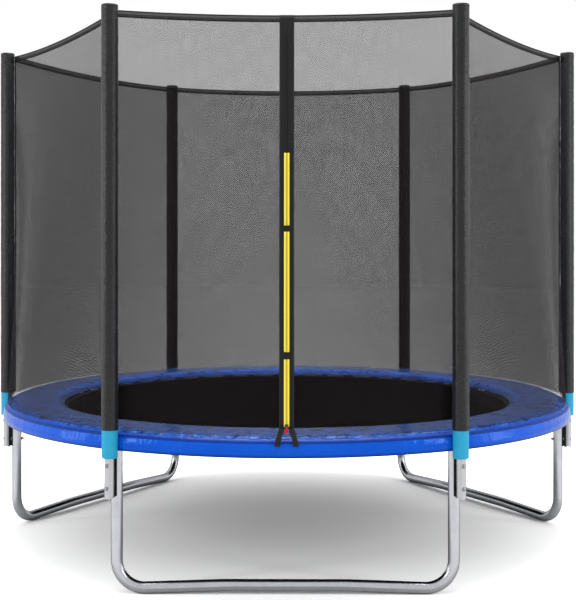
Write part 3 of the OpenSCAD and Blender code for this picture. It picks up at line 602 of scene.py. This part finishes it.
def pad_outline():
    """Closed outline of the pad as (radius, height), and how far each point may move."""
    wall = []
    for i in range(13):
        t = i / 12
        inwards = 0.0012 * (1 - 5 * t) ** 2 if t < 0.2 else SHOULDER * ((t - 0.2) / 0.8) ** 2
        wall.append((PAD_OUT - inwards, SKIRT_LOW + 0.004 + (PAD_BODY - SKIRT_LOW - 0.004) * t, 0.0))
    points = [(PAD_IN + (PAD_OUT - SHOULDER - SKIRT_T - PAD_IN) * i / 9, PAD_LOW, 0.0) for i in range(10)]
    points += [(r - SKIRT_T, z, 0.0) for r, z, _ in reversed(wall[:-1:2])]
    points += [(PAD_OUT - SKIRT_T, SKIRT_LOW + 0.0014, 0.0)]
    points += [(PAD_OUT - LIP, SKIRT_LOW + 0.0014, 0.0), (PAD_OUT - LIP, SKIRT_LOW, 0.0),
               (PAD_OUT - 0.004, SKIRT_LOW, 0.0), (PAD_OUT - 0.001, SKIRT_LOW + 0.001, 0.0)]
    points += wall
    for i in range(1, CROWN_STEPS):
        t = (1 + math.cos(math.pi * i / CROWN_STEPS)) / 2
        free = min(1.0, 5 * t, 5 * (1 - t))
        points.append((PAD_IN + (PAD_OUT - SHOULDER - PAD_IN) * t,
                       PAD_BODY + PAD_START * PAD_RISE * pad_arch(t), free))
    points.append((PAD_IN, PAD_BODY, 0.0))
    return points


def settle(obj, held, frames, pressure, growth):
    """Cloth with its held points fixed: where each point ends."""
    group = obj.vertex_groups.new(name="held")
    group.add([int(i) for i in held], 1.0, "REPLACE")
    sim = obj.modifiers.new("cloth", "CLOTH")
    cloth_settings = sim.settings
    cloth_settings.quality = 4
    cloth_settings.mass = 0.3
    cloth_settings.tension_stiffness = 30
    cloth_settings.compression_stiffness = 30
    cloth_settings.shear_stiffness = 12
    cloth_settings.bending_stiffness = 0.4
    cloth_settings.air_damping = 4
    cloth_settings.use_pressure = True
    cloth_settings.uniform_pressure_force = pressure
    cloth_settings.shrink_min = -growth
    cloth_settings.vertex_group_mass = "held"
    cloth_settings.effector_weights.gravity = 0
    sim.collision_settings.use_collision = False
    sim.point_cache.frame_start = 1
    sim.point_cache.frame_end = frames
    for step in range(1, frames + 1):
        scene.frame_set(step)
    mesh = obj.evaluated_get(bpy.context.evaluated_depsgraph_get()).data
    ended = np.zeros(len(mesh.vertices) * 3)
    mesh.vertices.foreach_get("co", ended)
    obj.modifiers.remove(sim)
    obj.vertex_groups.remove(group)
    scene.frame_set(1)
    return ended.reshape(-1, 3)


def make_pad():
    outline = pad_outline()
    count = len(outline)
    line = [Vector((r, 0, z)) for r, z, _ in outline + outline[:1]]
    length = sum((b - a).length for a, b in zip(line, line[1:]))

    def place(u, v):
        r, z, _ = outline[round(v * count) % count]
        return polar(r, 360 * u, z)

    bm = cloth(PAD_STEPS, count, place, (2 * math.pi * RING_R, length))
    face_outwards(bm)
    vinyl = make_vinyl(length * (BACKED_ROWS - 0.5) / count)
    pad = piece("pad", bm, vinyl, stands_for=("pad_cover", "pad_foam"), crease=65)
    mesh = pad.data
    rest = np.zeros(len(mesh.vertices) * 3)
    mesh.vertices.foreach_get("co", rest)
    rest = rest.reshape(-1, 3)
    radius = np.hypot(rest[:, 0], rest[:, 1])
    share = (radius - PAD_IN) / (PAD_OUT - PAD_IN)
    free = np.clip(np.minimum(6 * share, 6 * (1 - share)), 0, 1)
    free[rest[:, 2] <= PAD_BODY + 1e-6] = 0
    moved = rest.copy()
    moved = settle(pad, np.nonzero(free == 0)[0], SWELL_FRAMES, SWELL_PRESSURE, SWELL_GROWTH)
    shift = moved - rest
    size = np.linalg.norm(shift, axis=1)
    cap = SWELL_MOST * free
    shift *= np.minimum(1.0, cap / np.maximum(size, 1e-9))[:, None]
    mesh.vertices.foreach_set("co", (rest + shift).ravel())
    mesh.update()


# ---------------------------------------------------------------- foam tubes and sleeves

def make_foam_tube(number):
    angle = POLE_ANGLES[number - 1]
    rim = 0.004
    centre = Matrix.Rotation(math.radians(angle), 4, "Z") @ Matrix.Translation((POLE_R, 0, 0))
    # Whole ring above the skirt, as a closed profile turned about the pole.
    top_in, top_out = FOAM_TOP - 0.001, FOAM_TOP
    profile = [(FOAM_BORE, SLOT_TOP), (FOAM_R, SLOT_TOP), (FOAM_R, top_out - rim), (FOAM_R - rim, top_out),
               (FOAM_BORE, top_in)]

    def ring(u, v):
        r, z = profile[round(v * len(profile)) % len(profile)]
        return centre @ polar(r, 360 * u, z)

    upper = cloth(64, len(profile), ring, (2 * math.pi * FOAM_R, 1.6))
    face_outwards(upper)
    # Below that the tube is slit where it clips round the skirt.
    cut = SLOT_R - POLE_R
    outer, inner = (math.degrees(math.acos(cut / r)) if r > -cut else 180 for r in (FOAM_R, FOAM_BORE))
    outline = [(FOAM_R, -outer + 2 * outer * i / 44) for i in range(45)]
    outline += [(FOAM_BORE, inner - 2 * inner * i / 30) for i in range(31)]
    levels = [(FOAM_Z, 0.004), (FOAM_Z + 0.0006, 0.0022), (FOAM_Z + 0.002, 0.0007), (FOAM_Z + rim, 0.0),
              (FOAM_Z + 0.03, 0.0), (SLOT_TOP, 0.0)]

    def slit(u, v):
        r, turn = outline[round(u * len(outline)) % len(outline)]
        z, less = levels[round(v * (len(levels) - 1))]
        return centre @ polar(r - (less if r > FOAM_BORE else -less / 4), turn, z)

    lower = cloth(len(outline), len(levels) - 1, slit, (0.25, SLOT_TOP - FOAM_Z))
    bmesh.ops.holes_fill(lower, edges=lower.edges, sides=0)
    face_outwards(lower)
    tube = piece(f"foam_{number}", joined([upper, lower]), blue_foam,
                 stands_for=(f"foam_tube_{number}",), crease=60)


def make_sleeve(number):
    """Fabric tube with a turned hem at its foot, small cross folds and a soft closed top."""
    angle = POLE_ANGLES[number - 1]
    centre = polar(POLE_R, angle, 0)
    rows = 320
    hem = [(0.0288, SLEEVE_Z + 0.016), (0.0290, SLEEVE_Z + 0.008), (0.0293, SLEEVE_Z + 0.002),
           (0.0298, SLEEVE_Z + 0.0003), (0.0304, SLEEVE_Z + 0.001), (SLEEVE_R, SLEEVE_Z + 0.004)]
    wall = [(SLEEVE_R, SLEEVE_Z + 0.008 + (SLEEVE_TOP - SLEEVE_EDGE - SLEEVE_Z - 0.008) * i / (rows - 20))
            for i in range(rows - 19)]
    edge = [(SLEEVE_R - SLEEVE_EDGE * (1 - math.cos(t)), SLEEVE_TOP - SLEEVE_EDGE * (1 - math.sin(t)))
            for t in (math.pi / 2 * i / 6 for i in range(1, 7))]
    cap = [(edge[-1][0] * (1 - i / 5), SLEEVE_TOP - 0.0012 * i / 5) for i in range(1, 6)]
    profile = hem + wall + edge + cap
    seed = Vector((7.1 * number, 3.3, 0))

    def place(u, v):
        r, z = profile[round(v * (len(profile) - 1))]
        turn = 360 * u
        if SLEEVE_Z + 0.02 < z < SLEEVE_TOP - 0.0005:
            away = Vector((math.cos(math.radians(turn)), math.sin(math.radians(turn)), 0))
            cross = noise.noise(away * 1.1 + Vector((0, 0, z * 62)) + seed)
            small = noise.noise(away * 2.3 + Vector((0, 0, z * 130)) - seed)
            slack = noise.noise(away * 0.6 + Vector((0, 0, z * 6)) + seed)
            fade = min(1.0, (z - SLEEVE_Z - 0.02) * 30, (SLEEVE_TOP - z) * 60)
            r -= fade * (0.0004 + 0.0007 * cross + 0.0004 * small + 0.0005 * slack)
        return centre + polar(r, turn, z)

    bm = cloth(40, len(profile) - 1, place, (2 * math.pi * SLEEVE_R, SLEEVE_TOP - SLEEVE_Z + 0.046))
    face_outwards(bm)
    sleeve = piece(f"pole_sleeve_{number}", bm, sleeve_fabric,
                   stands_for=(f"sleeve_{number}",), crease=80, thickness=0.0012, side=-1)


# ---------------------------------------------------------------- mat, rings' loops and springs

def make_mat():
    rings = 24

    def disc(u, v):
        return polar(MAT_R * v, 360 * u, SPRING_Z)

    bm = cloth(240, rings, disc, (1, 1))
    layer = bm.loops.layers.uv.active
    for face in bm.faces:
        for loop in face.loops:
            loop[layer].uv = loop.vert.co.xy
    face_outwards(bm)
    mat = piece("jumping_mat", bm, mat_weave, "mat", ("mat",), thickness=MAT_T)

    outline = [(BAND_IN, -BAND_HALF), (BAND_OUT - 0.002, -BAND_HALF), (BAND_OUT, -BAND_HALF + 0.002),
               (BAND_OUT, BAND_HALF - 0.002), (BAND_OUT - 0.002, BAND_HALF), (BAND_IN, BAND_HALF),
               (BAND_IN - 0.0004, 0)]

    def band(u, v):
        r, z = outline[round(v * len(outline)) % len(outline)]
        return polar(r, 360 * u, SPRING_Z + z)

    bm = cloth(240, len(outline), band, (2 * math.pi * MAT_R, 0.08))
    face_outwards(bm)
    piece("mat_edge_band", bm, edge_web, "mat", ("mat_band",))

    turn_r = 0.0034
    path = [Vector((LOOP_TAIL_R, 0, turn_r)), Vector((0.982, 0, turn_r)), Vector((0.996, 0, turn_r))]
    path += [Vector((RING_BAR_R + turn_r * math.sin(t), 0, turn_r * math.cos(t)))
             for t in (math.pi * i / 8 for i in range(9))]
    path += [Vector((0.996, 0, -turn_r)), Vector((0.982, 0, -turn_r)), Vector((LOOP_TAIL_R, 0, -turn_r))]

    def loop_place(u, v):
        return along(path, v) + Vector((0, (u - 0.5) * LOOP_W, SPRING_Z))

    bm = cloth(2, len(path) - 1, loop_place, (LOOP_W, 0.09))
    bmesh.ops.solidify(bm, geom=bm.faces[:], thickness=0.0015)
    turn = Matrix.Rotation(math.radians(SPAN / SPRINGS_PER_RAIL / 2), 4, "Z")
    bmesh.ops.transform(bm, matrix=turn, verts=bm.verts)
    face_outwards(bm)
    repeated(bm, 6 * SPRINGS_PER_RAIL, SPAN / SPRINGS_PER_RAIL)
    piece("mat_ring_loops", bm, edge_web, "mat", ("mat_loops",))


def spring_path():
    """Centreline of a spring along X: hook, shoulder, close coils, shoulder, turned-down tip."""
    points = [(HOOK_MID + HOOK_R * math.cos(t), 0, HOOK_R * math.sin(t))
              for t in (math.radians(a) for a in range(300, 0, -24))]
    points += [(HOOK_MID + HOOK_R + 0.0022, 0, 0.0006)]
    turns, per_turn = 31, 10
    count = turns * per_turn
    for k in range(count + 1):
        x = COIL_IN - 0.003 + (COIL_OUT - COIL_IN + 0.006) * k / count
        r = COIL_R * min(1.0, (0.15 + k / per_turn * 0.85), (0.15 + (count - k) / per_turn * 0.85))
        turn = 2 * math.pi * k / per_turn
        points.append((x, r * math.cos(turn), r * math.sin(turn)))
    points += [(1.176, 0, 0), (TURN_IN, 0, 0)]
    points += [(TURN_IN + TIP_R * math.sin(t), 0, TIP_R * math.cos(t) - TIP_R)
               for t in (math.radians(a) for a in (30, 60, 90))]
    points += [(TURN_IN + TIP_R, 0, -TIP_R - 0.004)]
    return points


def make_springs():
    pattern = wires([spring_path()], WIRE_R)
    template = bpy.data.meshes.new("spring")
    pattern.to_mesh(template)
    pattern.free()
    step = SPAN / SPRINGS_PER_RAIL
    for i in range(6 * SPRINGS_PER_RAIL):
        angle = step * (i + 0.5)
        bm = bmesh.new()
        bm.from_mesh(template)
        turn = Matrix.Translation((0, 0, SPRING_Z)) @ Matrix.Rotation(math.radians(angle), 4, "Z")
        bmesh.ops.transform(bm, matrix=turn, verts=bm.verts)
        spring = piece(f"spring_{i + 1}", bm, spring_wire, body=None, stands_for=("springs",),
                       crease=180)
        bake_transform(spring)
    bpy.data.meshes.remove(template)


# ---------------------------------------------------------------- net, its bands and its piping

def make_net():
    width, height = NET_R * math.radians(SPAN), NET_TOP - NET_Z
    low, high = BOTTOM_FOLD / height, 1 - TOP_BAND / height
    hems, folds = [], []
    for panel in range(1, 7):
        away = polar(1, POLE_ANGLES[panel - 1] + SPAN / 2, 0)

        def place(u, v, panel=panel, away=away):
            u = NET_GAP + (1 - 2 * NET_GAP) * u
            v = 0.004 + (0.992 - 0.004) * v
            ripple = noise.noise(Vector((u * 5.1, v * 3.2, panel * 9.7)))
            slack = math.sin(math.pi * u) * math.sin(math.pi * v)
            off_middle = min(1.0, abs(u - 0.5) * 14) if panel == 1 else 1.0
            return net_point(panel, u, v) + away * (0.003 * ripple * slack * off_middle)

        bm = cloth(48, 60, place, (width, height))
        net = piece(f"net_{panel}", bm, net_mesh, stands_for=(f"net_panel_{panel}",),
                    thickness=0.0008)
        net.visible_shadow = False

        def hem(u, v, panel=panel):
            return net_point(panel, NET_GAP + (1 - 2 * NET_GAP) * u, high + (1 - high) * v)

        hems.append(cloth(48, 4, hem, (width, TOP_BAND)))
        folds.append(cloth(48, 3, lambda u, v, p=panel: net_point(p, NET_GAP + (1 - 2 * NET_GAP) * u, low * v),
                           (width, BOTTOM_FOLD)))
    for bm in hems:
        layer = bm.loops.layers.uv.active
        for face in bm.faces:
            for loop in face.loops:
                loop[layer].uv = loop[layer].uv.yx
    piece("top_hem", joined(hems), hem_net, stands_for=("net_top_band",), thickness=0.0028)
    piece("bottom_hem_fold", joined(folds), net_mesh, stands_for=("net_bottom_band",))
    posts = [[polar(NET_R, angle, 0.592 + (NET_TOP - 0.592) * i / 12) for i in range(13)]
             for angle in POLE_ANGLES]
    piece("corner_piping", wires(posts, 0.003, 3), plastic, stands_for=("net_piping",))


# ---------------------------------------------------------------- door

def strip(path, across, width, columns=4, rows=None):
    """Flat strip along a path; across is the direction of its width."""
    rows = rows or len(path) - 1
    length = sum((b - a).length for a, b in zip(path, path[1:]))

    def place(u, v):
        return along(path, v) + across * (width * (u - 0.5))

    return cloth(columns, rows, place, (width, length))


def make_door():
    across = Vector((1, 0, 0))
    half = (PLACKET_W - CHAIN_W) / 2
    mid = PLACKET_X + PLACKET_T / 2
    rows = 90
    flaps = []
    for side in (-1, 1):
        path = [on_door(mid, 0, PLACKET_FOOT + (PLACKET_TOP - PLACKET_FOOT) * i / rows)
                for i in range(rows + 1)]
        shift = across * side * (CHAIN_W + half) / 2
        flaps.append(strip([p + shift for p in path], across, half))
    piece("zip_placket", joined(flaps), placket_web, stands_for=("door_placket",),
          thickness=PLACKET_T)

    tape_half = (TAPE_W - CHAIN_W) / 2 - 0.0002
    face = PLACKET_X + PLACKET_T + TAPE_T / 2
    tapes = []
    for low, high in TAPE_RUNS:
        ends = [(z - NET_Z) / math.cos(DOOR_LEAN) for z in (low, high)]
        for side in (-1, 1):
            shift = across * side * (TAPE_W - tape_half) / 2
            path = [on_door(face, 0, ends[0] + (ends[1] - ends[0]) * i / 20) + shift for i in range(21)]
            tapes.append(strip(path, across, tape_half, columns=2))
    piece("reflective_tape", joined(tapes), reflector, stands_for=("door_reflectors",),
          thickness=TAPE_T)

    backing = [on_door(PLACKET_X + 0.0012, 0, PLACKET_FOOT + (PLACKET_TOP - PLACKET_FOOT) * i / rows)
               for i in range(rows + 1)]
    piece("zip_tape", strip(backing, across, 0.012), placket_web, thickness=0.0008)

    pitch = 0.0033
    count = int((CHAIN_TOP - CHAIN_FOOT) / pitch)
    tooth = bmesh.new()
    for side, lift in ((-1, 0.0), (1, pitch / 2)):
        bmesh.ops.create_cube(tooth, size=1, matrix=Matrix.Translation((
            CHAIN_T / 2, side * 0.0006, CHAIN_FOOT + pitch / 4 + lift)) @ Matrix.Diagonal(
            (CHAIN_T, 0.0022, pitch * 0.46, 1)))
    repeated(tooth, count, step=(0, 0, pitch))
    bmesh.ops.transform(tooth, matrix=DOOR @ Matrix.Translation((PLACKET_X + PLACKET_T, 0, 0)),
                        verts=tooth.verts)
    piece("zip_teeth_row", tooth, zip_teeth, stands_for=("zip_chain",), crease=30)

    straps = []
    for side in (-1, 1):
        corners = [Vector((side * 0.0168, -(NET_R + 0.0037), 0.6135)), Vector((side * 0.0218, -1.2155, 0.596)),
                   Vector((side * 0.027, -1.2225, 0.5815)), Vector((side * 0.030, -(PAD_OUT + 0.0014), 0.5704)),
                   Vector((side * 0.031, -(PAD_OUT + 0.0012), 0.562)),
                   Vector((side * 0.032, -(PAD_OUT + 0.0012), 0.5545))]
        path = evened([corner + across * DOOR_SHIFT for corner in corners], 13)
        straps.append(strip(path, across, STRAP_W))
    piece("door_foot_straps", joined(straps), strap_web, stands_for=("door_straps",),
          thickness=STRAP_T)


def make_ties():
    """Elastic ties that run from the skirt's hem round the rail to the underside of the pad."""
    ties = []
    wrap = TUBE_R + 0.0012
    for angle in POLE_ANGLES:
        for side in (-1, 1):
            turn = angle + side * SPAN / 4
            path = [polar(RING_R - wrap, turn, PAD_LOW - 0.0004)]
            path += [polar(RING_R + wrap * math.cos(math.radians(a)), turn,
                           RAIL_Z + wrap * math.sin(math.radians(a))) for a in range(180, 291, 11)]
            path += [polar(RING_R + TUBE_R - 0.002, turn, SKIRT_LOW + 0.0022)]
            ties.append(strip(evened(path, 16), polar(1, turn + 90, 0), 0.025))
    piece("elastic_ties", joined(ties), strap_web, stands_for=("pad_ties",), thickness=0.0013)


# ---------------------------------------------------------------- camera, floor and light

SKY = 0.85             # strength of the world where it lights the object
FLOOR_WHITE = 0.86     # the floor's colour where it lights the object
SKY_MIRRORED = 0.82    # strength of the world where it is mirrored
FLOOR_MIRRORED = 0.70  # the floor's colour in gloss and through glass
FLOOR_SEEN = 1.66      # the same to the camera near the object: white outside its shadow
FLOOR_FAR = 1.23       # the same to the camera far off: as white as the world behind the nets
NEAR, FAR = 2.8, 4.6   # distances between which the one turns into the other
FLOOR_R = 30           # the floor's radius

CAMERA_AWAY, CAMERA_UP, CAMERA_TURN = 5.27, 1.243, math.radians(0.35)
LENS, SENSOR, SHIFT = 71.28, 36, (0.0017, -0.0925)

# Lamps on both sides, given for the right: kind, place, aim, size and watts.
SIDE_LAMPS = [("softbox", (3.7, -1.0, 1.45), (0, 0, 1.2), (0.7, 2.3), 15),
              ("strip", (3.3, -2.6, 1.8), (0, 0, 1.0), (0.45, 1.4), 20)]


def make_camera():
    data = bpy.data.cameras.new("camera")
    data.sensor_width = SENSOR
    data.lens = LENS
    data.shift_x, data.shift_y = SHIFT
    camera = bpy.data.objects.new("camera", data)
    scene.collection.objects.link(camera)
    camera.location = (CAMERA_AWAY * math.sin(CAMERA_TURN), -CAMERA_AWAY * math.cos(CAMERA_TURN), CAMERA_UP)
    camera.rotation_euler = (math.pi / 2, 0, CAMERA_TURN)
    scene.camera = camera


def make_light(name, where, towards, size, watts):
    data = bpy.data.lights.new(name, "AREA")
    data.shape = "RECTANGLE"
    data.size, data.size_y = size
    data.energy = watts
    lamp = bpy.data.objects.new(name, data)
    scene.collection.objects.link(lamp)
    lamp.location = where
    lamp.rotation_euler = (Vector(towards) - Vector(where)).to_track_quat("-Z", "Y").to_euler()
    lamp.visible_camera = False


def seen_white(tree):
    """1 for what the camera sees, also in gloss and through glass."""
    path = add(tree, "LightPath").outputs
    some = maths(tree, "MAXIMUM", path["Is Camera Ray"], path["Is Glossy Ray"])
    return maths(tree, "MAXIMUM", some, path["Is Transmission Ray"])


def make_surroundings():
    world = bpy.data.worlds.new("studio")
    scene.world = world
    world.use_nodes = True
    tree = world.node_tree
    background = tree.nodes["Background"]
    background.inputs["Color"].default_value = (1, 1, 1, 1)
    # Seen directly the world is white; its light and its reflection are dimmer.
    path = add(tree, "LightPath").outputs
    straight = maths(tree, "MAXIMUM", path["Is Camera Ray"], path["Is Transmission Ray"])
    lit = maths(tree, "MULTIPLY_ADD", path["Is Glossy Ray"], SKY_MIRRORED - SKY, SKY)
    strength = maths(tree, "MULTIPLY_ADD", straight, 1.0 - SKY, lit)
    tree.links.new(strength, background.inputs["Strength"])

    bm = bmesh.new()
    bmesh.ops.create_circle(bm, cap_ends=True, segments=96, radius=FLOOR_R)
    bmesh.ops.translate(bm, verts=bm.verts, vec=(0, 0, -0.0005))
    mesh = bpy.data.meshes.new("floor")
    bm.to_mesh(mesh)
    bm.free()
    floor = bpy.data.objects.new("floor", mesh)
    scene.collection.objects.link(floor)
    material = bpy.data.materials.new("white_floor")
    material.use_nodes = True
    tree = material.node_tree
    tree.nodes.remove(tree.nodes["Principled BSDF"])
    direct = add(tree, "LightPath").outputs["Is Camera Ray"]
    mirrored = maths(tree, "MULTIPLY_ADD", seen_white(tree), FLOOR_MIRRORED - FLOOR_WHITE, FLOOR_WHITE)
    place = add(tree, "TexCoord").outputs["Object"]
    distance = add(tree, "VectorMath", {0: place}, operation="LENGTH").outputs["Value"]
    seen = add(tree, "MapRange", {"Value": distance, "From Min": NEAR, "From Max": FAR, "To Min": FLOOR_SEEN,
                                  "To Max": FLOOR_FAR}).outputs[0]
    extra = maths(tree, "MULTIPLY", direct, maths(tree, "SUBTRACT", seen, FLOOR_MIRRORED))
    whiteness = maths(tree, "ADD", extra, mirrored)
    chalk = add(tree, "BsdfDiffuse", {"Color": add(tree, "CombineColor", {0: whiteness, 1: whiteness,
                                                                          2: whiteness}).outputs[0]})
    tree.links.new(chalk.outputs[0], tree.nodes["Material Output"].inputs["Surface"])
    mesh.materials.append(material)

    scene.view_settings.view_transform = "Standard"
    for side, name in ((-1, "left"), (1, "right")):
        for kind, (x, y, z), towards, size, watts in SIDE_LAMPS:
            make_light(f"{name}_{kind}", (side * x, y, z), towards, size, watts)
    make_light("overhead", (0, -0.2, 4.6), (0, 0, 0.6), (3.0, 3.0), 195)


make_camera()
make_surroundings()
make_pad()
for number in range(1, 7):
    make_foam_tube(number)
    make_sleeve(number)
make_mat()
make_springs()
make_net()
make_door()
make_ties()
